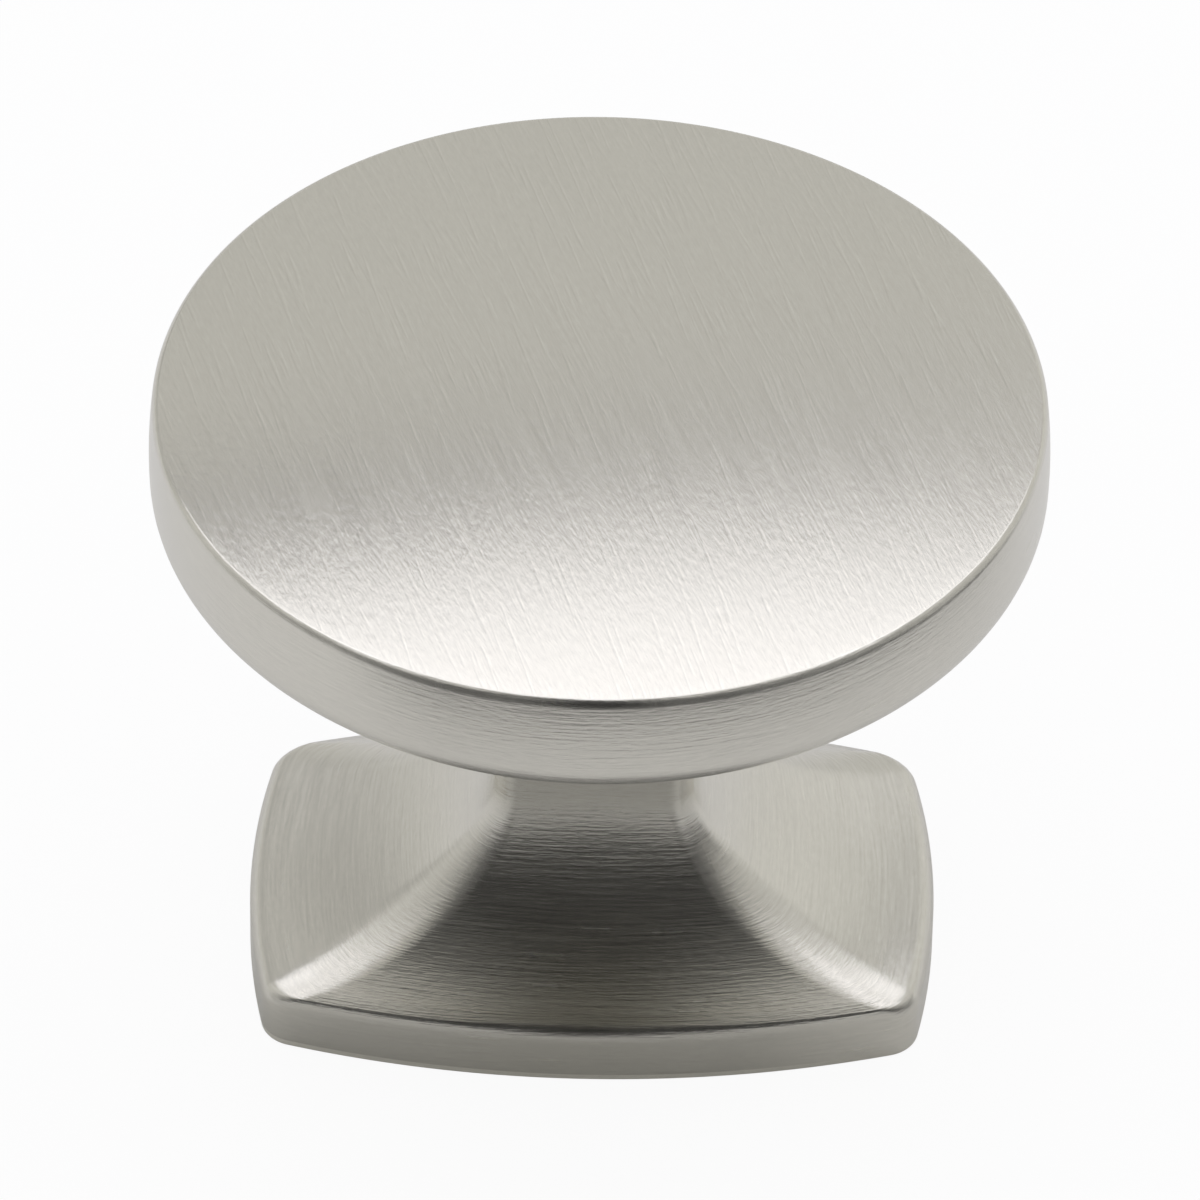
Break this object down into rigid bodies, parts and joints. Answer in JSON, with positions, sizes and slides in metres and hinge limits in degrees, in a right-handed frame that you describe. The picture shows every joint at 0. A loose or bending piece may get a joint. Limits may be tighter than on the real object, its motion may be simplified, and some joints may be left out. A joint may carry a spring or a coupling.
{
  "type": "cabinet knob",
  "caption": "Round cabinet knob with a gently domed face, on a narrow neck that flares into a bowed rectangular base, with a threaded hole underneath.",
  "frame": {"origin": "centre of the base face, where the screw hole opens", "axes": "+Z out of the cabinet front along the knob's axis, +X along the long side of the base"},
  "size_m": [0.032, 0.032, 0.026],
  "materials": {
    "satin_nickel": "satin"
  },
  "bodies": {
    "root": {"knob": "satin_nickel"}
  },
  "joints": []
}
